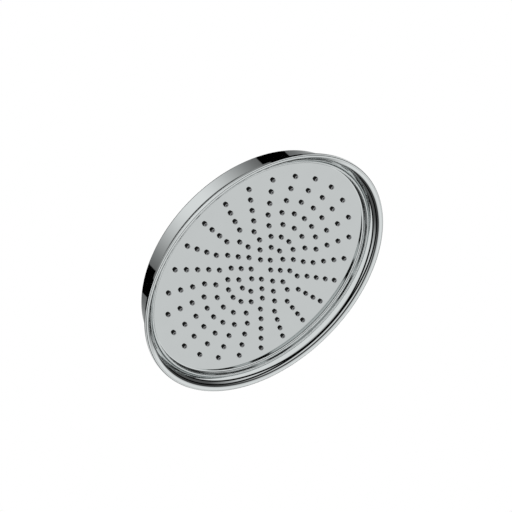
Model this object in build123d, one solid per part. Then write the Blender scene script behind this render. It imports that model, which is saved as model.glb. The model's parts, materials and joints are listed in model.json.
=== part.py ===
from build123d import *
import math
import os

# A round rain shower rose on a ball joint. Millimetres, +Z up, spray face down.
# The origin is the middle of the inlet's mouth, where the shower arm screws in.

# Shell of the rose
ROSE_R = 112.5  # outside of the rolled lip
FLARE_REACH = 9.7  # from the drum wall out to the lip
DRUM_WALL = 10.9  # straight wall, from the back corner to the flare
DOME_DROP = 7.0  # fall of the domed back, from its flat seat to the drum
BACK_FLAT_R = 25.0  # flat seat in the middle of the back
BACK_CORNER_R = 1.5  # rounding between the back and the drum wall
FLARE_R = 16.0  # inner skin of the bell-mouthed flare
BEAD_R = 1.5  # lip, rolled back behind the inner skin
SHEET = 0.9  # spun sheet

# Spray plate, a tray whose rim leans out to rest on the flare
PLATE_T = 1.0
PLATE_DEPTH = 13.2  # from the drum's back corner to the spray side of the plate
RIM_RISE = 4.3  # middle of the rim's rounded edge, from the middle of the plate
RIM_LEAN = 20.0  # degrees out of upright
RIM_BEND_R = 1.2  # at the middle of the sheet
HOLE_R = 1.9
STUD_R = 2.0  # studs welded behind the plate
STUD_COUNT = 8
STUD_INSET = 5.0  # from the edge of the cover
STUD_SPARE = 0.4  # stud that shows past its nut

# Nozzles, in rings that share one ray
RING_COUNTS = (6, 12, 18, 19, 25, 25, 25, 25)  # from the middle out
INNER_RINGS = 3
INNER_PITCH = 10.5
OUTER_PITCH = 11.0
FIRST_NOZZLE = 180.0  # degrees, the ray that every ring starts on
NOZZLE_SIDES = 6  # flats that stand for each round hole, nub and bore
NUB_OUT = 1.6  # stands this far out of the plate
NUB_BASE_R = 1.8
NUB_TIP_R = 1.45
BORE_R = 0.5
MAT_T = 1.5
MAT_INSET = 0.5  # from the edge of the cover

# Waterway cover behind the mat
WATER_GAP = 3.0
COVER_T = 2.5
COVER_SPACE = 3.4  # from the inside of the drum to the cover
COVER_RIM = 8.5
BOSS_R = 16.0
RIB_COUNT = 8
RIB_T = 2.0
RIB_H = 3.0
RIB_INSET = 12.5  # from the edge of the cover
NUT_AF = 7.0
NUT_H = 2.4
NUT_WASHER_R = 4.0
NUT_WASHER_T = 0.8

# Inlet: hexagon, thread socket, neck and ball in one turned piece
HEX_AF = 27.0
HEX_HEIGHT = 15.0
HEX_CHAMFER = 1.2
THREAD_R = 10.48  # root of the half-inch pipe thread
THREAD_DEPTH = 10.0
NECK_R = 7.5
NECK_LENGTH = 15.0  # from the hexagon's underside to the middle of the ball
BALL_R = 12.0
PASSAGE_R = 4.0

# What lies in the inlet
WASHER_R = 10.0
WASHER_T = 2.0
WASHER_BORE_R = 6.0
SCREEN_R = 6.9
SCREEN_T = 0.6
SCREEN_HOLE = 1.0
SCREEN_PITCH = 1.5
SCREEN_EDGE = 1.0
REGULATOR_FLANGE = 1.0
REGULATOR_R = 5.3
REGULATOR_LENGTH = 3.8
REGULATOR_RING_R = 3.2
REGULATOR_CORD_R = 0.7  # section of the rubber ring
REGULATOR_CHANNEL = 2.4  # width of the channel that the ring lies in
REGULATOR_JETS = 6
REGULATOR_JET_R = 0.8

# Ball joint; heights are measured from the middle of the ball
LINER_T = 1.13
LINER_TOP = 7.0
LINER_FOOT = 2.0
SEAL_TOP = 1.2  # below the middle
SEAL_H = 2.9
SEAT_H = 5.9
SOCKET_RIM = 0.8
SOCKET_WALL = 2.35
SOCKET_FLOOR = 3.0
SOCKET_HEX_AF = 40.0
SOCKET_HEX_H = 4.0
SPIGOT_R = 10.5
SPIGOT_BORE_R = 6.5
SPIGOT_SEAL_T = 2.0
GASKET_R = 19.0
GASKET_T = 1.0
COLLAR_R = 19.0
COLLAR_TOP = 9.3
COLLAR_TOP_R = 14.5
COLLAR_SHOULDER = 3.5  # where the collar starts to round over
COLLAR_FOOT = 8.0  # below the middle
COLLAR_MOUTH_R = 11.5
FLUTE_COUNT = 16
FLUTE_R = 1.6
FLUTE_DEPTH = 0.6

# Clearances
FIT = 0.1  # between pieces that are fixed together
BALL_GAP = 0.12  # on the ball
LINER_GAP = 0.15  # outside the liner
CUP_GAP = 0.4  # from the liner to the cup
SPIGOT_GAP = 0.4  # hole in the shell
BOSS_GAP = 0.3  # under the shell's back
RIM_GAP = 0.08  # between the plate's rim and the flare

# Heights that follow
BALL_Z = -(HEX_HEIGHT + NECK_LENGTH)
SEAL_FOOT_Z = BALL_Z - SEAL_TOP - SEAL_H
SEAT_TOP_Z = SEAL_FOOT_Z - FIT
SEAT_FOOT_Z = SEAT_TOP_Z - SEAT_H
CUP_FLOOR_Z = SEAT_FOOT_Z - FIT
SOCKET_HEX_Z = CUP_FLOOR_Z - SOCKET_FLOOR
SOCKET_FOOT_Z = SOCKET_HEX_Z - SOCKET_HEX_H
SHELL_TOP_Z = SOCKET_FOOT_Z - GASKET_T
BACK_Z = SHELL_TOP_Z - DOME_DROP
FLARE_Z = BACK_Z - DRUM_WALL
PLATE_Z = BACK_Z - PLATE_DEPTH
PLATE_BACK_Z = PLATE_Z + PLATE_T
MAT_BACK_Z = PLATE_BACK_Z + MAT_T
COVER_Z = MAT_BACK_Z + WATER_GAP
COVER_TOP_Z = COVER_Z + COVER_T
NUT_Z = COVER_TOP_Z + NUT_WASHER_T
STUD_TOP_Z = NUT_Z + NUT_H + STUD_SPARE
BOSS_TOP_Z = SHELL_TOP_Z - SHEET - BOSS_GAP
WASHER_Z = -THREAD_DEPTH - WASHER_T
SCREEN_Z = WASHER_Z - SCREEN_T
REGULATOR_Z = SCREEN_Z - REGULATOR_FLANGE
REGULATOR_FOOT_Z = REGULATOR_Z - REGULATOR_LENGTH

# Radii that follow
DRUM_R = ROSE_R - FLARE_REACH  # outside of the drum wall
COVER_R = DRUM_R - SHEET - COVER_SPACE
MAT_R = COVER_R - MAT_INSET
STUD_CIRCLE_R = COVER_R - STUD_INSET
RIB_REACH = COVER_R - RIB_INSET
SPRAY_R = COVER_R - COVER_RIM  # inside of the cover's rim, where water reaches the mat
FLARE_AXIS_R = DRUM_R - SHEET + FLARE_R  # the flare's arc is struck from here
BALL_SPACE_R = BALL_R + BALL_GAP
LINER_R = BALL_SPACE_R + LINER_T
CUP_R = LINER_R + CUP_GAP
SOCKET_R = CUP_R + SOCKET_WALL


def turned(profile):
    """Solid of revolution about Z from a face drawn as radius across and height up."""
    return revolve(Plane.XZ * profile, Axis.Z)


def ring(inner, outer, low, high):
    """Plain ring, or a disc where the inner radius is 0."""
    section = Pos((inner + outer) / 2, (low + high) / 2) * Rectangle(outer - inner, high - low)
    return turned(section)


def ball(radius):
    """Sphere about the middle of the ball joint."""
    return Pos(0, 0, BALL_Z) * Sphere(radius)


def hexagon(across_flats, low, high, bevel=0.0):
    """Hexagonal bar between two heights, with its corners turned off at both ends."""
    bar = RegularPolygon(across_flats / 2, 6, major_radius=False)
    solid = extrude(Pos(0, 0, low) * bar, high - low)
    if bevel:
        corner_r = across_flats / 2 / math.cos(math.pi / 6)
        blank = ring(0, corner_r, low, high)
        solid &= chamfer(blank.edges().filter_by(GeomType.CIRCLE), bevel)
    return solid


def nozzle_places():
    """Place of every nozzle, ring by ring, as far out as the water reaches."""
    places = []
    radius = 0.0
    for index, count in enumerate(RING_COUNTS):
        radius += INNER_PITCH if index < INNER_RINGS else OUTER_PITCH
        if radius + HOLE_R < SPRAY_R:
            places += PolarLocations(radius, count, FIRST_NOZZLE)
    return places


def stud_places():
    """Place of every stud on its circle."""
    return list(PolarLocations(STUD_CIRCLE_R, STUD_COUNT))


def inlet_ball():
    """Turned brass inlet: hexagon with the thread socket, neck, and ball with its passage."""
    solid = hexagon(HEX_AF, -HEX_HEIGHT, 0, HEX_CHAMFER)
    solid += ring(0, NECK_R, BALL_Z, -HEX_HEIGHT)
    solid += ball(BALL_R)
    solid -= ring(0, THREAD_R, -THREAD_DEPTH, 0)
    solid -= ring(0, WASHER_R + FIT, WASHER_Z, -THREAD_DEPTH)
    solid -= ring(0, SCREEN_R + FIT, REGULATOR_Z, WASHER_Z)
    solid -= ring(0, REGULATOR_R + FIT, REGULATOR_FOOT_Z, REGULATOR_Z)
    solid -= ring(0, PASSAGE_R, BALL_Z - BALL_R, REGULATOR_FOOT_Z)
    return solid


def inlet_washer():
    """Rubber washer in its seat below the thread."""
    return ring(WASHER_BORE_R, WASHER_R, WASHER_Z, -THREAD_DEPTH)


def filter_screen():
    """Pressed steel disc with a square grid of holes."""
    screen = ring(0, SCREEN_R, SCREEN_Z, WASHER_Z)
    across = 2 * int(SCREEN_R / SCREEN_PITCH) + 1
    open_r = SCREEN_R - SCREEN_EDGE
    hole = extrude(Pos(0, 0, SCREEN_Z) * Rectangle(SCREEN_HOLE, SCREEN_HOLE), SCREEN_T)
    grid = GridLocations(SCREEN_PITCH, SCREEN_PITCH, across, across)
    inside = [place for place in grid if place.position.length + SCREEN_HOLE < open_r]
    return screen - [place * hole for place in inside]


def flow_regulator():
    """Moulded insert with a channel for its ring, and jets out of the channel's floor."""
    solid = ring(0, SCREEN_R, REGULATOR_Z, SCREEN_Z)
    solid += ring(0, REGULATOR_R, REGULATOR_FOOT_Z, REGULATOR_Z)
    half = REGULATOR_CHANNEL / 2
    floor_z = regulator_channel_z()
    solid -= ring(REGULATOR_RING_R - half, REGULATOR_RING_R + half, floor_z, SCREEN_Z)
    jet = ring(0, REGULATOR_JET_R, REGULATOR_FOOT_Z, floor_z)
    return solid - [place * jet for place in PolarLocations(REGULATOR_RING_R, REGULATOR_JETS)]


def regulator_channel_z():
    """Floor of the regulator's channel, deep enough for the ring to lie below the screen."""
    return SCREEN_Z - 2 * REGULATOR_CORD_R - 2 * FIT


def regulator_ring():
    """Rubber ring that closes on the jets as the pressure rises."""
    middle_z = regulator_channel_z() + REGULATOR_CORD_R + FIT
    return Pos(0, 0, middle_z) * Torus(REGULATOR_RING_R, REGULATOR_CORD_R)


def friction_ring():
    """Nylon liner over the ball, round inside and out, so that it can tilt both ways."""
    liner = ball(LINER_R) - ball(BALL_SPACE_R)
    return liner & ring(0, LINER_R + FIT, BALL_Z + LINER_FOOT, BALL_Z + LINER_TOP)


def ball_seal():
    """Rubber ring moulded to the ball, just below its middle."""
    return ring(0, CUP_R - FIT, SEAL_FOOT_Z, BALL_Z - SEAL_TOP) - ball(BALL_SPACE_R)


def ball_seat():
    """Nylon seat that the ball bears on."""
    return ring(SPIGOT_BORE_R, CUP_R - FIT, SEAT_FOOT_Z, SEAT_TOP_Z) - ball(BALL_SPACE_R)


def ball_socket():
    """Brass cup for the ball, with a hexagon to hold it by and a spigot through the shell."""
    rim_z = BALL_Z + SOCKET_RIM
    solid = ring(0, SOCKET_R, SOCKET_HEX_Z, rim_z)
    solid += hexagon(SOCKET_HEX_AF, SOCKET_FOOT_Z, SOCKET_HEX_Z, HEX_CHAMFER)
    solid += ring(0, SPIGOT_R, COVER_TOP_Z + SPIGOT_SEAL_T, SOCKET_FOOT_Z)
    solid -= ring(0, CUP_R, CUP_FLOOR_Z, rim_z)
    solid -= ring(0, SPIGOT_BORE_R, COVER_TOP_Z, CUP_FLOOR_Z)
    return solid


def collar_nut():
    """Fluted collar that screws over the socket and holds the liner down on the ball."""
    foot_z = BALL_Z - COLLAR_FOOT
    rim_z = BALL_Z + SOCKET_RIM
    top_z = BALL_Z + COLLAR_TOP
    thread_r = SOCKET_R + FIT
    with BuildLine() as outline:
        side = Polyline(
            (COLLAR_MOUTH_R, top_z),
            (COLLAR_MOUTH_R, rim_z),
            (thread_r, rim_z),
            (thread_r, foot_z),
            (COLLAR_R, foot_z),
            (COLLAR_R, BALL_Z + COLLAR_SHOULDER),
        )
        shoulder = TangentArc(side @ 1, (COLLAR_TOP_R, top_z), tangent=(0, 1))
        Line(shoulder @ 1, side @ 0)
    collar = turned(make_face(outline.edges())) - ball(LINER_R + LINER_GAP)
    flute_r = COLLAR_R - FLUTE_DEPTH + FLUTE_R
    flute = ring(0, FLUTE_R, foot_z, top_z)
    return collar - [place * flute for place in PolarLocations(flute_r, FLUTE_COUNT)]


def socket_gasket():
    """Washer between the socket and the back of the shell."""
    return ring(SPIGOT_R + SPIGOT_GAP, GASKET_R, SHELL_TOP_Z, SOCKET_FOOT_Z)


def body_shell():
    """Spun shell: domed back, drum wall, bell-mouthed flare and rolled lip, in one sheet."""
    bead_r = ROSE_R - BEAD_R
    reach = FLARE_R - BEAD_R  # from the flare's axis to the middle of the lip
    sweep = math.degrees(math.acos((FLARE_AXIS_R - bead_r) / reach))
    bead_z = FLARE_Z - reach * math.sin(math.radians(sweep))
    with BuildLine() as skin:
        seat = Line((SPIGOT_R + SPIGOT_GAP, SHELL_TOP_Z), (BACK_FLAT_R, SHELL_TOP_Z))
        dome = TangentArc(seat @ 1, (DRUM_R, BACK_Z), tangent=(1, 0))
        wall = Line(dome @ 1, (DRUM_R, FLARE_Z))
        CenterArc((FLARE_AXIS_R, FLARE_Z), FLARE_R - SHEET, 180, sweep)
        fillet(skin.vertices().sort_by_distance(wall @ 0)[0], BACK_CORNER_R)
    sheet = make_face(offset(skin.wires()[0], SHEET, side=Side.RIGHT).edges())
    return turned(sheet + Pos(bead_r, bead_z) * Circle(BEAD_R))


def rim_middle():
    """Radius and height of the middle of the plate's rounded edge, where it rests on the flare."""
    height = PLATE_Z + PLATE_T / 2 - RIM_RISE
    reach = FLARE_R + RIM_GAP + PLATE_T / 2
    return FLARE_AXIS_R - math.sqrt(reach**2 - (FLARE_Z - height) ** 2), height


def face_plate():
    """Spray plate: a pierced tray with a rounded rim, and studs welded behind it."""
    rim_r, rim_z = rim_middle()
    middle_z = PLATE_Z + PLATE_T / 2
    corner_r = rim_r - RIM_RISE * math.tan(math.radians(RIM_LEAN))
    path = FilletPolyline((0, middle_z), (corner_r, middle_z), (rim_r, rim_z), radius=RIM_BEND_R)
    tray = trace(path, PLATE_T) + Pos(rim_r, rim_z) * Circle(PLATE_T / 2)
    plate = turned(tray)
    hole = extrude(Pos(0, 0, PLATE_Z) * RegularPolygon(HOLE_R, NOZZLE_SIDES), PLATE_T)
    plate -= [place * hole for place in nozzle_places()]
    stud = ring(0, STUD_R, PLATE_BACK_Z, STUD_TOP_Z)
    return plate + [place * stud for place in stud_places()]


def nozzle_mat():
    """Rubber mat with a tapered nub, bored through, for each hole of the plate."""
    tip_z = PLATE_Z - NUB_OUT
    base = Pos(0, 0, PLATE_BACK_Z) * RegularPolygon(NUB_BASE_R, NOZZLE_SIDES)
    tip = Pos(0, 0, tip_z) * RegularPolygon(NUB_TIP_R, NOZZLE_SIDES)
    nub = loft([base, tip])
    bore = extrude(Pos(0, 0, tip_z) * RegularPolygon(BORE_R, NOZZLE_SIDES), MAT_BACK_Z - tip_z)
    stud_hole = ring(0, STUD_R + FIT, PLATE_BACK_Z, MAT_BACK_Z)
    mat = ring(0, MAT_R, PLATE_BACK_Z, MAT_BACK_Z) - [place * stud_hole for place in stud_places()]
    mat += [place * nub for place in nozzle_places()]
    return mat - [place * bore for place in nozzle_places()]


def waterway_cover():
    """Moulded cover: a rim that clamps the mat, ribs, and a threaded boss for the spigot."""
    solid = ring(0, COVER_R, COVER_Z, COVER_TOP_Z)
    solid += ring(COVER_R - COVER_RIM, COVER_R, MAT_BACK_Z, COVER_Z)
    rib_middle = Pos(RIB_REACH / 2, 0, COVER_TOP_Z + RIB_H / 2)
    rib = rib_middle * Box(RIB_REACH, RIB_T, RIB_H)
    half_step = 180 / RIB_COUNT
    solid += [place * rib for place in PolarLocations(0, RIB_COUNT, half_step)]
    solid += ring(0, BOSS_R, COVER_TOP_Z, BOSS_TOP_Z)
    solid -= ring(0, SPIGOT_R + FIT, COVER_TOP_Z, BOSS_TOP_Z)
    solid -= ring(0, SPIGOT_BORE_R, COVER_Z, COVER_TOP_Z)
    stud_hole = ring(0, STUD_R + FIT, MAT_BACK_Z, COVER_TOP_Z)
    return solid - [place * stud_hole for place in stud_places()]


def spigot_seal():
    """Rubber washer between the end of the spigot and the floor of the boss."""
    return ring(SPIGOT_BORE_R, SPIGOT_R, COVER_TOP_Z, COVER_TOP_Z + SPIGOT_SEAL_T)


def cover_nuts():
    """Nuts that hold the cover on the plate's studs."""
    nut = hexagon(NUT_AF, NUT_Z, NUT_Z + NUT_H) - ring(0, STUD_R + FIT, NUT_Z, NUT_Z + NUT_H)
    return Compound([place * nut for place in stud_places()])


def cover_washers():
    """Washers under the nuts."""
    washer = ring(STUD_R + FIT, NUT_WASHER_R, COVER_TOP_Z, NUT_Z)
    return Compound([place * washer for place in stud_places()])


PIECES = (
    inlet_ball,
    inlet_washer,
    filter_screen,
    flow_regulator,
    regulator_ring,
    friction_ring,
    ball_seat,
    ball_seal,
    collar_nut,
    ball_socket,
    socket_gasket,
    body_shell,
    waterway_cover,
    spigot_seal,
    nozzle_mat,
    face_plate,
    cover_nuts,
    cover_washers,
)

os.makedirs("parts", exist_ok=True)
for piece in PIECES:
    export_step(piece(), f"parts/{piece.__name__}.step")
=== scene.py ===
import json
import math

import bmesh
import bpy
from mathutils import Matrix, Vector


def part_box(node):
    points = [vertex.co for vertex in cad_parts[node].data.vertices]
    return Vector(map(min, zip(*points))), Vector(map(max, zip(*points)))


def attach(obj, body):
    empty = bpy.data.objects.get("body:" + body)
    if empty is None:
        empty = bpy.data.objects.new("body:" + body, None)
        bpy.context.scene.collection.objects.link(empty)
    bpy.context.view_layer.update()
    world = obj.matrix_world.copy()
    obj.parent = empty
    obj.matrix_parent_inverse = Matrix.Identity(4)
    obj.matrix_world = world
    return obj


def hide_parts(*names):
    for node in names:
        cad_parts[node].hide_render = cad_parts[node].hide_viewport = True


# Looks of a round rain shower rose. Profiles are in millimetres, in the frame of the CAD part.

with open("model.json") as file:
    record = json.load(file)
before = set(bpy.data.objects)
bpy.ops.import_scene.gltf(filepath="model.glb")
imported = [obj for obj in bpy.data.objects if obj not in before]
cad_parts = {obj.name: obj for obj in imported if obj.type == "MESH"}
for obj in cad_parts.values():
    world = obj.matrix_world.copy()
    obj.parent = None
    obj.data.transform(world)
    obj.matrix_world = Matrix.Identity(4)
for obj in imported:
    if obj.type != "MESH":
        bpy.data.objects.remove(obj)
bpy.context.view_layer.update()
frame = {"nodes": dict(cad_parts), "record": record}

MM = 0.001
ROUND = 480  # steps round the axis, a multiple of the hexagons' sides and of the flutes
NOZZLE_ROUND = 24  # steps round each nozzle, hole and stud
SHARP_ANGLE = 35.0  # edges that turn by more degrees than this stay sharp

# Shell
ROSE_R = 112.5
FLARE_REACH = 9.7
DOME_DROP = 7.0
DRUM_WALL = 10.9
BACK_FLAT_R = 25.0
BACK_CORNER_R = 1.5
FLARE_R = 16.0
BEAD_R = 1.5
LIP_FACE = 1.0  # upright outer face of the lip, between its front and back rounding
SHEET = 0.9
SHELL_BORE_R = 10.9
DRUM_R = ROSE_R - FLARE_REACH
FLARE_AXIS_R = DRUM_R - SHEET + FLARE_R

# Spray plate and nozzles
PLATE_T = 1.0
RIM_RISE = 4.3
RIM_BEND_R = 2.0  # on the spray side
RIM_BEND_AT = 99.15  # where the bend begins
HEM_R = 0.95  # rounded edge of the rim
RIM_GAP = 0.08  # between that edge and the flare
FLAT_EDGE = 1.4  # flat ring left between the holes and the bend
HOLE_R = 1.9
HOLE_BREAK = 0.12  # broken edge of each hole
STUD_R = 2.0
STUD_COUNT = 8
STUD_CIRCLE_R = 93.5
STUD_BREAK = 0.3
RING_COUNTS = (6, 12, 18, 19, 25, 25, 25, 25)
INNER_RINGS = 3
INNER_PITCH = 10.5
OUTER_PITCH = 11.0
FIRST_NOZZLE = 180.0  # where every ring starts, in degrees
NUB_R = 1.8
NUB_TIP_R = 1.68
NUB_ROUND = 0.15
NUB_STRAIGHT = 0.2  # stands out of the plate before it tapers
BORE_R = 0.5
BORE_BREAK = 0.15
MAT_R = 98.0
MAT_T = 1.5
FIT = 0.1  # play between pieces that fit into one another
SAME_HEIGHT = 1e-6

# Inlet, ball joint and collar
HEX_AF = 27.0
HEX_HEIGHT = 15.0
HEX_CHAMFER = 1.2
THREAD_R = 10.48
THREAD_CREST_R = 9.32
THREAD_PITCH = 1.814
THREAD_DEPTH = 10.0
THREAD_SET = 0.1  # reach of the ridge into the wall
THREAD_ROOT_HALF = 0.46  # half widths of the ridge, as shares of the pitch
THREAD_CREST_HALF = 0.08
WASHER_R = 10.0
WASHER_T = 2.0
SCREEN_R = 6.9
SCREEN_T = 0.6
REGULATOR_R = 5.3
REGULATOR_FLANGE = 1.0
REGULATOR_LENGTH = 3.8
NECK_R = 7.5
NECK_LENGTH = 15.0
BALL_R = 12.0
PASSAGE_R = 4.0
BALL_Z = -(HEX_HEIGHT + NECK_LENGTH)
LINER_SPACE_R = 13.4
CUP_R = 13.65
SOCKET_R = 16.0
SOCKET_RIM = 0.8
SOCKET_HEX_AF = 40.0
SOCKET_HEX_H = 4.0
SOCKET_FLOOR = 3.0
SPIGOT_R = 10.5
SPIGOT_BORE_R = 6.5
COLLAR_R = 19.0
COLLAR_TOP = 9.3
COLLAR_TOP_R = 14.5
COLLAR_SHOULDER = 3.5
COLLAR_FOOT = 8.0
COLLAR_MOUTH_R = 11.5
FLUTE_COUNT = 16
FLUTE_R = 1.6
FLUTE_DEPTH = 0.6

# Steps along the profiles
DOME_STEPS = 24
CORNER_STEPS = 10
FLARE_STEPS = 40
LIP_STEPS = 24
BEND_STEPS = 24
HEM_STEPS = 36
NUB_STEPS = 6
CHAMFER_STEPS = 6
BALL_STEPS = 40
SHOULDER_STEPS = 20
MOUTH_STEPS = 12
THREAD_STEPS = 72  # in each turn

# Camera of the photograph
CAMERA_AT = (0.00478, -0.98356, -0.87367)
CAMERA_RIGHT = (0.7076, 0.4521, -0.5430)
CAMERA_UP = (0.7066, -0.4528, 0.5438)
CAMERA_BACK = (0.0, -0.7685, -0.6399)
LENS = 111.85
SENSOR = 36.0
VIEW_END = 50.0

# Floor and lamps, in metres and watts
FLOOR_Z = -1.6
FLOOR_HALF = 4.0
LAMP_SIZE = 0.9
LAMP_TARGET = (0.0, 0.0, -0.06)
KEY_AT = (-0.9, -0.9, 0.6)
KEY_POWER = 12.0
FILL_AT = (0.9, -0.5, -1.1)
FILL_POWER = 8.0

# Materials
GRAIN_DETAIL = 3.0
GRAIN_ENDS = (0.3, 0.7)  # share of the grain's range that the colour varies over
GLOSS_VARY = 0.15
RELIEF = 0.00002  # depth of the fine surface grain, in metres
PAINTED_LIGHT_TIP_FACING = (-0.6, -0.95)  # height of the surface's direction, from none of the painted light on the tips to all of it
TIP_SPECULAR = 0.2
CHROME_TINT = (0.54, 0.566, 0.566)
RUBBER_BLACK = (0.008, 0.008, 0.008)
# painted light: lighter grey laid on the nozzle tips' faces that look along -Z, as if lit from below
PAINTED_LIGHT_TIP_GREY = (0.22, 0.225, 0.23)
SEAL_BLACK = (0.02, 0.02, 0.02)
NYLON_WHITE = (0.78, 0.77, 0.73)
COVER_GREY = (0.6, 0.6, 0.59)
REGULATOR_WHITE = (0.75, 0.77, 0.78)
STEEL_GREY = (0.55, 0.55, 0.55)
BRASS_YELLOW = (0.62, 0.44, 0.16)
FLOOR_GREY = (0.8, 0.8, 0.8)
CHROME_LOOK = {"metallic": 1.0, "grain": 60.0, "vary": 0.01, "bump": 0.0}
METAL_LOOK = {"metallic": 1.0, "grain": 900.0, "vary": 0.06, "bump": 0.05}
RUBBER_LOOK = {"grain": 3000.0, "vary": 0.15, "bump": 0.1, "painted_light_tip": PAINTED_LIGHT_TIP_GREY}
SEAL_LOOK = {"grain": 2000.0, "vary": 0.2, "bump": 0.1}
NYLON_LOOK = {"grain": 800.0, "vary": 0.03, "bump": 0.05}
COVER_LOOK = {"grain": 1500.0, "vary": 0.04, "bump": 0.08}
REGULATOR_LOOK = {"grain": 1500.0, "vary": 0.03, "bump": 0.02}
FLOOR_LOOK = {"grain": 20.0, "vary": 0.01, "bump": 0.0}

# Studio that the chrome mirrors. Each place in it is given by the surface that mirrors it to the camera:
# tilt is how far that surface looks down, and side how far it is turned from the front, in degrees.
# A fade goes from none at its first angle to all at its second, and the other pairs are ranges.
FRONT_SIDE_FADE = (38.0, 2.0)
FRONT_LIGHT = 0.985
REAR_SIDE_FADE = (48.0, 80.0)
REAR_LIGHT = 0.56
BASE_LIGHT = 0.2
BELOW_TILT_FADE = (8.0, 18.0)  # even light for surfaces that look down or far up
ABOVE_TILT_FADE = (-28.0, -46.0)
EVEN_LIGHT = 0.97
NEAR_TILT_FADE = (60.0, 34.0)  # more light on the flare
NEAR_LIGHT = 0.2
GLOW_TILT = (60.0, 74.0)  # bright line on rounded edges
GLOW_SOFT = 3.0
GLOW_LIGHT = 0.25
CARD_SIDE = (35.0, 50.2)  # black card on each side
CARD_SIDE_SOFT = 0.3
CARD_TILT = (-36.0, 12.0)
CARD_TILT_SOFT = 2.0
CEILING_TILT = (-26.0, -6.0)  # dark ceiling behind
CEILING_SIDE_FADE = (34.0, 18.0)
CEILING_SOFT = 2.0
STRIP_SOFT = 0.8
FIRST_TILT = (41.4, 46.6)  # first strip, which rises towards the sides
FIRST_RISE = 4.5
FIRST_SIDE_FADE = (5.0, 45.0)
SECOND_TILT = (43.5, 48.5)  # second strip, which falls towards the sides
SECOND_FALL = 4.0
SECOND_SIDE_FADE = (10.0, 60.0)
THIRD_TILT = (52.3, 56.6)  # third strip, level all round
THIRD_DARK = 0.92
WIDE_TILT = (47.5, 57.3)  # wide strip at the sides
WIDE_SIDE_FADE = (22.0, 62.0)
WIDE_DARK = 0.93
FILLED_TILT = (38.0, 50.0)  # fills the gap between the strips at the sides
FILLED_SIDE_FADE = (38.0, 66.0)
FILLED_DARK = 0.88
EDGE_TILT = (38.9, 42.5)  # half-dark edge that the tray's wall mirrors
EDGE_SIDE_FADE = (30.0, 14.0)
EDGE_SOFT = 0.5
EDGE_DARK = 0.45
BEHIND_TILT = (30.0, 76.0)  # panel behind, which draws the inner line of the near rim
BEHIND_SIDE_FADE = (105.0, 135.0)
BEHIND_SOFT = 1.5
MATT_LIGHT = 0.7  # on surfaces that aren't mirrors
WHITE = 1.0  # background, as the camera sees it


def arc(centre, radius, start, end, steps):
    """Points on a circle between two angles in degrees, both ends included."""
    points = []
    for step in range(steps + 1):
        angle = math.radians(start + (end - start) * step / steps)
        points.append((centre[0] + radius * math.cos(angle), centre[1] + radius * math.sin(angle)))
    return points


def bearing(centre, point):
    """Angle in degrees of a point seen from a centre."""
    return math.degrees(math.atan2(point[1] - centre[1], point[0] - centre[0]))


def on_circle(centre, radius, angle):
    """Point on a circle at an angle in degrees."""
    turn = math.radians(angle)
    return centre[0] + radius * math.cos(turn), centre[1] + radius * math.sin(turn)


def loop_of(bm, radius_at, height, steps, middle=(0.0, 0.0)):
    """Closed row of vertices whose radius is a number or a function of the angle."""
    row = []
    for step in range(steps):
        angle = 2 * math.pi * step / steps
        radius = radius_at(angle) if callable(radius_at) else radius_at
        x = middle[0] + radius * math.cos(angle)
        y = middle[1] + radius * math.sin(angle)
        row.append(bm.verts.new((x * MM, y * MM, height * MM)))
    return row


def bridge(bm, first, second):
    """Faces between two rows with the same number of vertices."""
    count = len(first)
    for step in range(count):
        after = (step + 1) % count
        bm.faces.new((first[step], first[after], second[after], second[step]))


def row_edges(bm, row):
    """Edges of a closed row, made where they are missing."""
    edges = []
    for start, end in zip(row, row[1:] + row[:1]):
        edges.append(bm.edges.get((start, end)) or bm.edges.new((start, end)))
    return edges


def add_object(bm, name, material):
    """Object made of a bmesh, which is used up."""
    mesh = bpy.data.meshes.new(name)
    bm.to_mesh(mesh)
    bm.free()
    mesh.materials.append(material)
    added = bpy.data.objects.new(name, mesh)
    bpy.context.scene.collection.objects.link(added)
    return added


def finish_piece(bm, name, node):
    """Turns a closed bmesh into a piece that takes the place of a CAD node."""
    bmesh.ops.recalc_face_normals(bm, faces=bm.faces)
    piece = add_object(bm, name, MATERIALS[NODE_SLOT[node]])
    piece.data.polygons.foreach_set("use_smooth", [True] * len(piece.data.polygons))
    piece.data.set_sharp_from_angle(angle=math.radians(SHARP_ANGLE))
    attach(piece, NODE_BODY[node])
    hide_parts(node)


def turned(name, node, profile):
    """Closed profile of (radius, height) turned about the axis."""
    bm = bmesh.new()
    rows = [loop_of(bm, radius, height, ROUND) for radius, height in profile]
    for first, second in zip(rows, rows[1:] + rows[:1]):
        bridge(bm, first, second)
    finish_piece(bm, name, node)


def pierced(name, node, rim, features):
    """Flat sheet with an edge profile, and holes or studs that run from one face.

    Each feature is (middle, face, profile): face is 0 for the side that the rim starts on and 1 for the
    other, and a profile that doesn't reach the other face is closed at its end.
    """
    bm = bmesh.new()
    rows = [loop_of(bm, radius, height, ROUND) for radius, height in rim]
    for first, second in zip(rows, rows[1:]):
        bridge(bm, first, second)
    heights = (rim[0][1], rim[-1][1])
    loops = ([rows[0]], [rows[-1]])
    for middle, face, profile in features:
        rows = [loop_of(bm, radius, height, NOZZLE_ROUND, middle) for radius, height in profile]
        for first, second in zip(rows, rows[1:]):
            bridge(bm, first, second)
        loops[face].append(rows[0])
        if abs(profile[-1][1] - heights[1 - face]) < SAME_HEIGHT:
            loops[1 - face].append(rows[-1])
        else:
            bm.faces.new(rows[-1])
    for group in loops:
        edges = []
        for row in group:
            edges += row_edges(bm, row)
        bmesh.ops.triangle_fill(bm, use_beauty=True, edges=edges, normal=(0, 0, 1))
    finish_piece(bm, name, node)


def places(radius, count, first=0.0):
    """Points on a circle."""
    return [on_circle((0.0, 0.0), radius, first + 360 * index / count) for index in range(count)]


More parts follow.
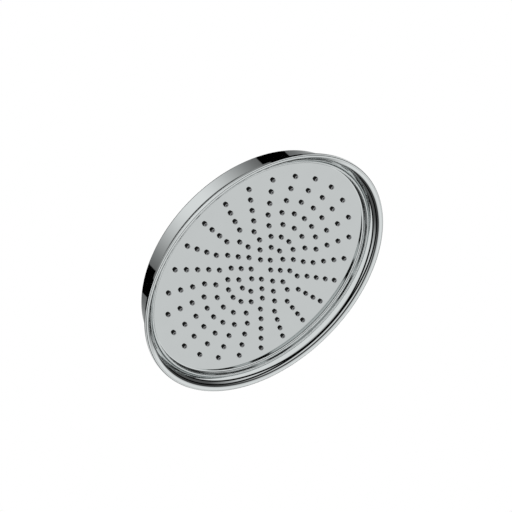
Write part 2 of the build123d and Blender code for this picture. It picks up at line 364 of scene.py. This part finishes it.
def nozzle_places():
    """Place of every nozzle, ring by ring."""
    spots = []
    radius = 0.0
    for index, count in enumerate(RING_COUNTS):
        radius += INNER_PITCH if index < INNER_RINGS else OUTER_PITCH
        spots += places(radius, count, FIRST_NOZZLE)
    return spots


def hexagon_at(across_flats, cap):
    """Radius of a hexagon by angle, turned down to the radius cap."""

    def radius(angle):
        off_flat = math.fmod(angle, math.pi / 3) - math.pi / 6
        return min(across_flats / 2 / math.cos(off_flat), cap)

    return radius


def hexagon_rows(across_flats, low, high):
    """Rows of a hexagon from its top to its foot, with chamfered corners."""
    corner_r = across_flats / 2 / math.cos(math.pi / 6)
    rows = []
    for step in range(CHAMFER_STEPS + 1):
        drop = HEX_CHAMFER * step / CHAMFER_STEPS
        rows.append((hexagon_at(across_flats, corner_r - HEX_CHAMFER + drop), high - drop))
    for step in range(CHAMFER_STEPS + 1):
        rise = HEX_CHAMFER * (CHAMFER_STEPS - step) / CHAMFER_STEPS
        rows.append((hexagon_at(across_flats, corner_r - rise), low + rise))
    return rows


def fluted(radius):
    """Radius of the collar by angle, cut back at each flute."""
    axis_r = COLLAR_R - FLUTE_DEPTH + FLUTE_R
    step = 2 * math.pi / FLUTE_COUNT

    def at(angle):
        off = math.fmod(angle + step / 2, step) - step / 2
        side = axis_r * math.sin(off)
        if abs(side) >= FLUTE_R:
            return radius
        return min(radius, axis_r * math.cos(off) - math.sqrt(FLUTE_R**2 - side**2))

    return at


def link(tree, source, target):
    """Link between two sockets."""
    tree.links.new(source, target)


def math_node(tree, operation, first, second=None):
    """Math node whose inputs are sockets or numbers."""
    node = tree.nodes.new("ShaderNodeMath")
    node.operation = operation
    for slot, value in zip(node.inputs, (first, second)):
        if value is None:
            continue
        if isinstance(value, (int, float)):
            slot.default_value = value
        else:
            link(tree, value, slot)
    return node.outputs[0]


def step_up(tree, value, low, high):
    """Smooth step from 0 at low to 1 at high; low above high makes it fall instead."""
    node = tree.nodes.new("ShaderNodeMapRange")
    node.interpolation_type = "SMOOTHSTEP"
    link(tree, value, node.inputs["Value"])
    rising = low < high
    node.inputs["From Min"].default_value = min(low, high)
    node.inputs["From Max"].default_value = max(low, high)
    node.inputs["To Min"].default_value = 0.0 if rising else 1.0
    node.inputs["To Max"].default_value = 1.0 if rising else 0.0
    return node.outputs["Result"]


def between(tree, value, low, high, soft):
    """1 inside a range, with soft ends."""
    begins = step_up(tree, value, low - soft, low + soft)
    ends = step_up(tree, value, high + soft, high - soft)
    return math_node(tree, "MULTIPLY", begins, ends)


def make_material(name, colour, roughness, grain, vary, bump, metallic=0.0, painted_light_tip=None):
    """Principled material with a fine procedural variation of colour, gloss and surface.

    The colour given for the tips is painted light: the faces that look along -Z take it, lighter than the
    rest as if lit from below.
    """
    material = bpy.data.materials.new(name)
    material.use_nodes = True
    tree = material.node_tree
    shader = tree.nodes["Principled BSDF"]
    shader.inputs["Metallic"].default_value = metallic
    spot = tree.nodes.new("ShaderNodeTexCoord")
    noise = tree.nodes.new("ShaderNodeTexNoise")
    noise.inputs["Scale"].default_value = grain
    noise.inputs["Detail"].default_value = GRAIN_DETAIL
    link(tree, spot.outputs["Object"], noise.inputs["Vector"])
    ramp = tree.nodes.new("ShaderNodeValToRGB")
    low, high = ramp.color_ramp.elements
    low.position, high.position = GRAIN_ENDS
    low.color = [channel * (1 - vary) for channel in colour] + [1.0]
    high.color = [min(channel * (1 + vary), 1.0) for channel in colour] + [1.0]
    link(tree, noise.outputs["Fac"], ramp.inputs["Fac"])
    tone = ramp.outputs["Color"]
    # painted light: faces that look along -Z take the lighter tip colour, as if lit
    if painted_light_tip:
        facing = tree.nodes.new("ShaderNodeSeparateXYZ")
        link(tree, spot.outputs["Normal"], facing.inputs[0])
        blend = tree.nodes.new("ShaderNodeMix")
        blend.data_type = "RGBA"
        link(tree, step_up(tree, facing.outputs["Z"], *PAINTED_LIGHT_TIP_FACING), blend.inputs["Factor"])
        link(tree, tone, blend.inputs["A"])
        blend.inputs["B"].default_value = list(painted_light_tip) + [1.0]
        tone = blend.outputs["Result"]
        shader.inputs["Specular IOR Level"].default_value = TIP_SPECULAR
    link(tree, tone, shader.inputs["Base Color"])
    gloss = tree.nodes.new("ShaderNodeMapRange")
    gloss.inputs["To Min"].default_value = roughness * (1 - GLOSS_VARY)
    gloss.inputs["To Max"].default_value = roughness * (1 + GLOSS_VARY)
    link(tree, noise.outputs["Fac"], gloss.inputs["Value"])
    link(tree, gloss.outputs["Result"], shader.inputs["Roughness"])
    if bump:
        relief = tree.nodes.new("ShaderNodeBump")
        relief.inputs["Strength"].default_value = bump
        relief.inputs["Distance"].default_value = RELIEF
        link(tree, noise.outputs["Fac"], relief.inputs["Height"])
        link(tree, relief.outputs["Normal"], shader.inputs["Normal"])
    return material


NODE_SLOT = {part["node"]: part["material_slot"] for part in frame["record"]["subparts"]}
NODE_BODY = {}
for body_name, node_names in frame["record"]["behaviour"]["bodies"].items():
    for node_name in node_names:
        NODE_BODY[node_name] = body_name

MATERIALS = {
    "chrome": make_material("chrome", CHROME_TINT, roughness=0.03, **CHROME_LOOK),
    "chrome_fitting": make_material("chrome_fitting", CHROME_TINT, roughness=0.05, **CHROME_LOOK),
    "nozzle_rubber": make_material("nozzle_rubber", RUBBER_BLACK, roughness=0.6, **RUBBER_LOOK),
    "seal_rubber": make_material("seal_rubber", SEAL_BLACK, roughness=0.6, **SEAL_LOOK),
    "nylon": make_material("nylon", NYLON_WHITE, roughness=0.4, **NYLON_LOOK),
    "cover_plastic": make_material("cover_plastic", COVER_GREY, roughness=0.45, **COVER_LOOK),
    "regulator_plastic": make_material(
        "regulator_plastic", REGULATOR_WHITE, roughness=0.35, **REGULATOR_LOOK
    ),
    "steel": make_material("steel", STEEL_GREY, roughness=0.3, **METAL_LOOK),
    "brass": make_material("brass", BRASS_YELLOW, roughness=0.3, **METAL_LOOK),
}
for node_name, cad_object in frame["nodes"].items():
    cad_object.data.materials.clear()
    cad_object.data.materials.append(MATERIALS[NODE_SLOT[node_name]])


def cad_height(node, top):
    """Height of the top or the foot of a CAD piece."""
    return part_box(node)[1 if top else 0][2] / MM


SHELL_TOP_Z = cad_height("body_shell", True)
BACK_Z = SHELL_TOP_Z - DOME_DROP
FLARE_Z = BACK_Z - DRUM_WALL
MAT_BACK_Z = cad_height("nozzle_mat", True)
NUB_TIP_Z = cad_height("nozzle_mat", False)
STUD_TOP_Z = cad_height("face_plate", True)
PLATE_BACK_Z = MAT_BACK_Z - MAT_T
PLATE_Z = PLATE_BACK_Z - PLATE_T
SPIGOT_FOOT_Z = cad_height("ball_socket", False)
SOCKET_FOOT_Z = cad_height("socket_gasket", True)


def make_shell():
    """Spun shell: domed back, drum wall, flare and rolled lip."""
    dome_run = DRUM_R - BACK_FLAT_R
    dome_r = (dome_run**2 + DOME_DROP**2) / (2 * DOME_DROP)
    dome_at = (BACK_FLAT_R, SHELL_TOP_Z - dome_r)
    corner_x = DRUM_R - BACK_CORNER_R
    corner_reach = math.sqrt((dome_r - BACK_CORNER_R) ** 2 - (corner_x - BACK_FLAT_R) ** 2)
    corner_at = (corner_x, dome_at[1] + corner_reach)
    corner_start = bearing(dome_at, corner_at)
    flare_at = (FLARE_AXIS_R, FLARE_Z)
    bead_reach = FLARE_R - BEAD_R
    sweep = math.degrees(math.acos((FLARE_AXIS_R - ROSE_R + BEAD_R) / bead_reach))
    bead_at = on_circle(flare_at, bead_reach, 180 + sweep)
    back_at = (bead_at[0], bead_at[1] + LIP_FACE)
    back_r = FLARE_R - SHEET
    back_reach = math.dist(flare_at, back_at)
    cosine = (back_r**2 + back_reach**2 - BEAD_R**2) / (2 * back_r * back_reach)
    meets_lip = 360 + bearing(flare_at, back_at) - math.degrees(math.acos(cosine))

    def skin(inset, end):
        """Skin from the hole in the back to the angle on the flare where it meets the lip."""
        points = [(SHELL_BORE_R, SHELL_TOP_Z - inset)]
        points += arc(dome_at, dome_r - inset, 90, corner_start, DOME_STEPS)
        points += arc(corner_at, BACK_CORNER_R - inset, corner_start, 0, CORNER_STEPS)
        points += arc(flare_at, back_r + inset, 180, end, FLARE_STEPS)
        return points

    outer = skin(0.0, meets_lip)
    inner = skin(SHEET, 180 + sweep)
    lip = arc(back_at, BEAD_R, 360 + bearing(back_at, outer[-1]), 0, LIP_STEPS)
    lip += arc(bead_at, BEAD_R, 0, sweep - 180, LIP_STEPS)
    turned("shell_skin", "body_shell", outer + lip[1:-1] + inner[::-1])


def make_plate():
    """Spray plate with its bent rim, holes and studs."""
    hem_z = PLATE_Z + PLATE_T / 2 - RIM_RISE
    reach = FLARE_R + RIM_GAP + HEM_R
    hem_at = (FLARE_AXIS_R - math.sqrt(reach**2 - (FLARE_Z - hem_z) ** 2), hem_z)
    bend_at = (RIM_BEND_AT, PLATE_Z - RIM_BEND_R)
    turn = math.degrees(math.acos((RIM_BEND_R + HEM_R) / math.dist(bend_at, hem_at)))
    lean = bearing(bend_at, hem_at) + turn
    back = lean + math.degrees(math.acos((PLATE_T - HEM_R) / HEM_R))
    rim = [(RIM_BEND_AT - FLAT_EDGE, PLATE_Z)]
    rim += arc(bend_at, RIM_BEND_R, 90, lean, BEND_STEPS)
    rim += arc(hem_at, HEM_R, 180 + lean, 360 + back, HEM_STEPS)
    rim += arc(bend_at, RIM_BEND_R + PLATE_T, lean, 90, BEND_STEPS)
    rim += [(RIM_BEND_AT - FLAT_EDGE, PLATE_BACK_Z)]
    hole = [(HOLE_R + HOLE_BREAK, PLATE_Z), (HOLE_R, PLATE_Z + HOLE_BREAK), (HOLE_R, PLATE_BACK_Z)]
    stud = [(STUD_R, PLATE_BACK_Z), (STUD_R, STUD_TOP_Z - STUD_BREAK), (STUD_R - STUD_BREAK, STUD_TOP_Z)]
    features = [(spot, 0, hole) for spot in nozzle_places()]
    features += [(spot, 1, stud) for spot in places(STUD_CIRCLE_R, STUD_COUNT)]
    pierced("spray_plate", "face_plate", rim, features)


def make_mat():
    """Rubber mat with its nubs, which come through the plate as the nozzles."""
    edge_at = (NUB_TIP_R - NUB_ROUND, NUB_TIP_Z + NUB_ROUND)
    nub = [(NUB_R, PLATE_BACK_Z), (NUB_R, PLATE_Z - NUB_STRAIGHT)]
    nub += arc(edge_at, NUB_ROUND, 0, -90, NUB_STEPS)
    nub += [(BORE_R + BORE_BREAK, NUB_TIP_Z), (BORE_R, NUB_TIP_Z + BORE_BREAK), (BORE_R, MAT_BACK_Z)]
    stud_hole = [(STUD_R + FIT, PLATE_BACK_Z), (STUD_R + FIT, MAT_BACK_Z)]
    features = [(spot, 0, nub) for spot in nozzle_places()]
    features += [(spot, 0, stud_hole) for spot in places(STUD_CIRCLE_R, STUD_COUNT)]
    rim = [(MAT_R, PLATE_BACK_Z), (MAT_R, MAT_BACK_Z)]
    pierced("nozzle_rubber", "nozzle_mat", rim, features)


def make_inlet():
    """Turned inlet with its hexagon, neck, ball and stepped bore."""
    washer_z = -THREAD_DEPTH - WASHER_T
    regulator_z = washer_z - SCREEN_T - REGULATOR_FLANGE
    passage_z = regulator_z - REGULATOR_LENGTH
    ball_at = (0.0, BALL_Z)
    profile = [(THREAD_R, 0.0)]
    profile += hexagon_rows(HEX_AF, -HEX_HEIGHT, 0.0)
    profile += [(NECK_R, -HEX_HEIGHT)]
    top = math.degrees(math.acos(NECK_R / BALL_R))
    foot = -math.degrees(math.acos(PASSAGE_R / BALL_R))
    profile += arc(ball_at, BALL_R, top, foot, BALL_STEPS)
    profile += [(PASSAGE_R, passage_z), (REGULATOR_R + FIT, passage_z), (REGULATOR_R + FIT, regulator_z)]
    profile += [(SCREEN_R + FIT, regulator_z), (SCREEN_R + FIT, washer_z), (WASHER_R + FIT, washer_z)]
    profile += [(WASHER_R + FIT, -THREAD_DEPTH), (THREAD_R, -THREAD_DEPTH)]
    turned("inlet_body", "inlet_ball", profile)


def make_collar():
    """Fluted collar over the ball."""
    foot_z = BALL_Z - COLLAR_FOOT
    rim_z = BALL_Z + SOCKET_RIM
    top_z = BALL_Z + COLLAR_TOP
    shoulder_z = BALL_Z + COLLAR_SHOULDER
    run = COLLAR_R - COLLAR_TOP_R
    rise = top_z - shoulder_z
    shoulder_r = (run**2 + rise**2) / (2 * run)
    shoulder_at = (COLLAR_R - shoulder_r, shoulder_z)
    thread_r = SOCKET_R + FIT
    ball_at = (0.0, BALL_Z)
    outer = [(COLLAR_R, foot_z)]
    round_end = bearing(shoulder_at, (COLLAR_TOP_R, top_z))
    outer += arc(shoulder_at, shoulder_r, 0, round_end, SHOULDER_STEPS)
    profile = [(thread_r, rim_z), (thread_r, foot_z)]
    profile += [(fluted(radius), z) for radius, z in outer]
    mouth = math.degrees(math.acos(COLLAR_MOUTH_R / LINER_SPACE_R))
    rim = math.degrees(math.asin(SOCKET_RIM / LINER_SPACE_R))
    profile += [(COLLAR_MOUTH_R, top_z)]
    profile += arc(ball_at, LINER_SPACE_R, mouth, rim, MOUTH_STEPS)
    turned("collar_skin", "collar_nut", profile)


def make_socket():
    """Cup under the ball with its hexagon and spigot."""
    rim_z = BALL_Z + SOCKET_RIM
    hex_z = SOCKET_FOOT_Z + SOCKET_HEX_H
    floor_z = hex_z + SOCKET_FLOOR
    profile = [(CUP_R, floor_z), (CUP_R, rim_z), (SOCKET_R, rim_z), (SOCKET_R, hex_z)]
    profile += hexagon_rows(SOCKET_HEX_AF, SOCKET_FOOT_Z, hex_z)
    profile += [(SPIGOT_R, SOCKET_FOOT_Z), (SPIGOT_R, SPIGOT_FOOT_Z)]
    profile += [(SPIGOT_BORE_R, SPIGOT_FOOT_Z), (SPIGOT_BORE_R, floor_z)]
    turned("socket_body", "ball_socket", profile)


def make_thread():
    """Pipe thread inside the inlet, as one helical ridge set into the wall."""
    start_z = -THREAD_PITCH / 2
    quarter_turns = int((THREAD_DEPTH + start_z) / THREAD_PITCH * 4)
    section = (
        (THREAD_R + THREAD_SET, -THREAD_ROOT_HALF * THREAD_PITCH),
        (THREAD_CREST_R, -THREAD_CREST_HALF * THREAD_PITCH),
        (THREAD_CREST_R, THREAD_CREST_HALF * THREAD_PITCH),
        (THREAD_R + THREAD_SET, THREAD_ROOT_HALF * THREAD_PITCH),
    )
    bm = bmesh.new()
    rows = []
    for step in range(quarter_turns * THREAD_STEPS // 4 + 1):
        angle = 2 * math.pi * step / THREAD_STEPS
        drop = start_z - THREAD_PITCH * step / THREAD_STEPS
        row = []
        for radius, rise in section:
            spot = (radius * math.cos(angle) * MM, radius * math.sin(angle) * MM, (drop + rise) * MM)
            row.append(bm.verts.new(spot))
        rows.append(row)
    for first, second in zip(rows, rows[1:]):
        bridge(bm, first, second)
    bm.faces.new(rows[0])
    bm.faces.new(rows[-1])
    bmesh.ops.recalc_face_normals(bm, faces=bm.faces)
    piece = add_object(bm, "inlet_thread", MATERIALS["chrome_fitting"])
    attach(piece, "inlet")


make_shell()
make_plate()
make_mat()
make_inlet()
make_collar()
make_socket()
make_thread()


def mirror_angles(tree):
    """Tilt and side of the surface that mirrors each direction to the camera of the photograph."""
    spot = tree.nodes.new("ShaderNodeTexCoord")
    toward = tree.nodes.new("ShaderNodeVectorMath")
    toward.operation = "ADD"
    link(tree, spot.outputs["Generated"], toward.inputs[0])
    toward.inputs[1].default_value = CAMERA_BACK
    middle = tree.nodes.new("ShaderNodeVectorMath")
    middle.operation = "NORMALIZE"
    link(tree, toward.outputs[0], middle.inputs[0])
    parts = tree.nodes.new("ShaderNodeSeparateXYZ")
    link(tree, middle.outputs[0], parts.inputs[0])
    across, along, upward = parts.outputs
    downward = math_node(tree, "MULTIPLY", upward, -1.0)
    forward = math_node(tree, "MULTIPLY", along, -1.0)
    turn = math_node(tree, "ABSOLUTE", math_node(tree, "ARCTAN2", across, forward))
    tilt = math_node(tree, "DEGREES", math_node(tree, "ARCSINE", downward))
    side = math_node(tree, "DEGREES", turn)
    return tilt, side


def studio_light(tree, tilt, side):
    """Light ahead that falls off to the sides, and even light from below and above."""
    front = math_node(tree, "MULTIPLY", step_up(tree, side, *FRONT_SIDE_FADE), FRONT_LIGHT)
    rear = math_node(tree, "MULTIPLY", step_up(tree, side, *REAR_SIDE_FADE), REAR_LIGHT)
    ahead = math_node(tree, "ADD", math_node(tree, "ADD", front, rear), BASE_LIGHT)
    below = step_up(tree, tilt, *BELOW_TILT_FADE)
    above = step_up(tree, tilt, *ABOVE_TILT_FADE)
    near = math_node(tree, "MULTIPLY", step_up(tree, tilt, *NEAR_TILT_FADE), NEAR_LIGHT)
    glow = math_node(tree, "MULTIPLY", between(tree, tilt, *GLOW_TILT, GLOW_SOFT), GLOW_LIGHT)
    even = math_node(tree, "ADD", math_node(tree, "ADD", near, glow), EVEN_LIGHT)
    gap = math_node(tree, "SUBTRACT", even, ahead)
    share = math_node(tree, "MULTIPLY", gap, math_node(tree, "MAXIMUM", below, above))
    return math_node(tree, "ADD", ahead, share)


def panel(tree, first, second, dark=1.0):
    """Dark panel where two masks meet."""
    return math_node(tree, "MULTIPLY", math_node(tree, "MULTIPLY", first, second), dark)


def studio_dark(tree, tilt, side):
    """Black cards above the horizon, and dark strips below that part towards the sides."""
    card_side = between(tree, side, *CARD_SIDE, CARD_SIDE_SOFT)
    card_tilt = between(tree, tilt, *CARD_TILT, CARD_TILT_SOFT)
    ceiling = between(tree, tilt, *CEILING_TILT, CEILING_SOFT)
    rise = math_node(tree, "MULTIPLY", step_up(tree, side, *FIRST_SIDE_FADE), FIRST_RISE)
    fall = math_node(tree, "MULTIPLY", step_up(tree, side, *SECOND_SIDE_FADE), SECOND_FALL)
    third = between(tree, tilt, *THIRD_TILT, STRIP_SOFT)
    wide = between(tree, tilt, *WIDE_TILT, STRIP_SOFT)
    filled = between(tree, tilt, *FILLED_TILT, STRIP_SOFT)
    edge = between(tree, tilt, *EDGE_TILT, EDGE_SOFT)
    behind = between(tree, tilt, *BEHIND_TILT, BEHIND_SOFT)
    panels = (
        panel(tree, ceiling, step_up(tree, side, *CEILING_SIDE_FADE)),
        between(tree, math_node(tree, "ADD", tilt, rise), *FIRST_TILT, STRIP_SOFT),
        between(tree, math_node(tree, "SUBTRACT", tilt, fall), *SECOND_TILT, STRIP_SOFT),
        math_node(tree, "MULTIPLY", third, THIRD_DARK),
        panel(tree, wide, step_up(tree, side, *WIDE_SIDE_FADE), WIDE_DARK),
        panel(tree, filled, step_up(tree, side, *FILLED_SIDE_FADE), FILLED_DARK),
        panel(tree, edge, step_up(tree, side, *EDGE_SIDE_FADE), EDGE_DARK),
        panel(tree, behind, step_up(tree, side, *BEHIND_SIDE_FADE)),
    )
    dark = panel(tree, card_side, card_tilt)
    for other in panels:
        dark = math_node(tree, "MAXIMUM", dark, other)
    return dark


def make_world():
    """White to the camera, even light on matt surfaces, and a studio of panels for the chrome to mirror."""
    world = bpy.data.worlds.new("studio")
    world.use_nodes = True
    bpy.context.scene.world = world
    tree = world.node_tree
    tree.nodes.clear()
    tilt, side = mirror_angles(tree)
    clear = math_node(tree, "SUBTRACT", 1.0, studio_dark(tree, tilt, side))
    level = math_node(tree, "MULTIPLY", studio_light(tree, tilt, side), clear)
    mirror = tree.nodes.new("ShaderNodeBackground")
    link(tree, level, mirror.inputs["Strength"])
    plain = tree.nodes.new("ShaderNodeBackground")
    plain.inputs["Strength"].default_value = MATT_LIGHT
    white = tree.nodes.new("ShaderNodeBackground")
    white.inputs["Strength"].default_value = WHITE
    for background in (mirror, plain, white):
        background.inputs["Color"].default_value = (1.0, 1.0, 1.0, 1.0)
    path = tree.nodes.new("ShaderNodeLightPath")
    gloss = tree.nodes.new("ShaderNodeMixShader")
    link(tree, path.outputs["Is Glossy Ray"], gloss.inputs["Fac"])
    link(tree, plain.outputs[0], gloss.inputs[1])
    link(tree, mirror.outputs[0], gloss.inputs[2])
    seen = tree.nodes.new("ShaderNodeMixShader")
    link(tree, path.outputs["Is Camera Ray"], seen.inputs["Fac"])
    link(tree, gloss.outputs[0], seen.inputs[1])
    link(tree, white.outputs[0], seen.inputs[2])
    out = tree.nodes.new("ShaderNodeOutputWorld")
    link(tree, seen.outputs[0], out.inputs["Surface"])


def make_lamp(name, at, power):
    """Soft square lamp that the chrome doesn't mirror."""
    data = bpy.data.lights.new(name, "AREA")
    data.size = LAMP_SIZE
    data.energy = power
    lamp = bpy.data.objects.new(name, data)
    bpy.context.scene.collection.objects.link(lamp)
    toward = Vector(LAMP_TARGET) - Vector(at)
    turn = toward.to_track_quat("-Z", "Y").to_matrix().to_4x4()
    lamp.matrix_world = Matrix.Translation(at) @ turn
    lamp.visible_glossy = False


def make_floor():
    """Pale floor well below the rose, out of the chrome's reflections."""
    bm = bmesh.new()
    bmesh.ops.create_grid(bm, x_segments=1, y_segments=1, size=FLOOR_HALF)
    floor = add_object(bm, "floor", make_material("floor", FLOOR_GREY, roughness=0.8, **FLOOR_LOOK))
    floor.location = (0.0, 0.0, FLOOR_Z)
    floor.visible_glossy = False


def make_camera():
    """Camera of the photograph."""
    data = bpy.data.cameras.new("camera")
    data.lens = LENS
    data.sensor_width = SENSOR
    data.clip_end = VIEW_END
    camera = bpy.data.objects.new("camera", data)
    turn = Matrix((CAMERA_RIGHT, CAMERA_UP, CAMERA_BACK)).transposed().to_4x4()
    camera.matrix_world = Matrix.Translation(CAMERA_AT) @ turn
    bpy.context.scene.collection.objects.link(camera)
    bpy.context.scene.camera = camera


make_world()
make_lamp("key", KEY_AT, KEY_POWER)
make_lamp("fill", FILL_AT, FILL_POWER)
make_floor()
make_camera()
bpy.context.scene.view_settings.view_transform = "Standard"
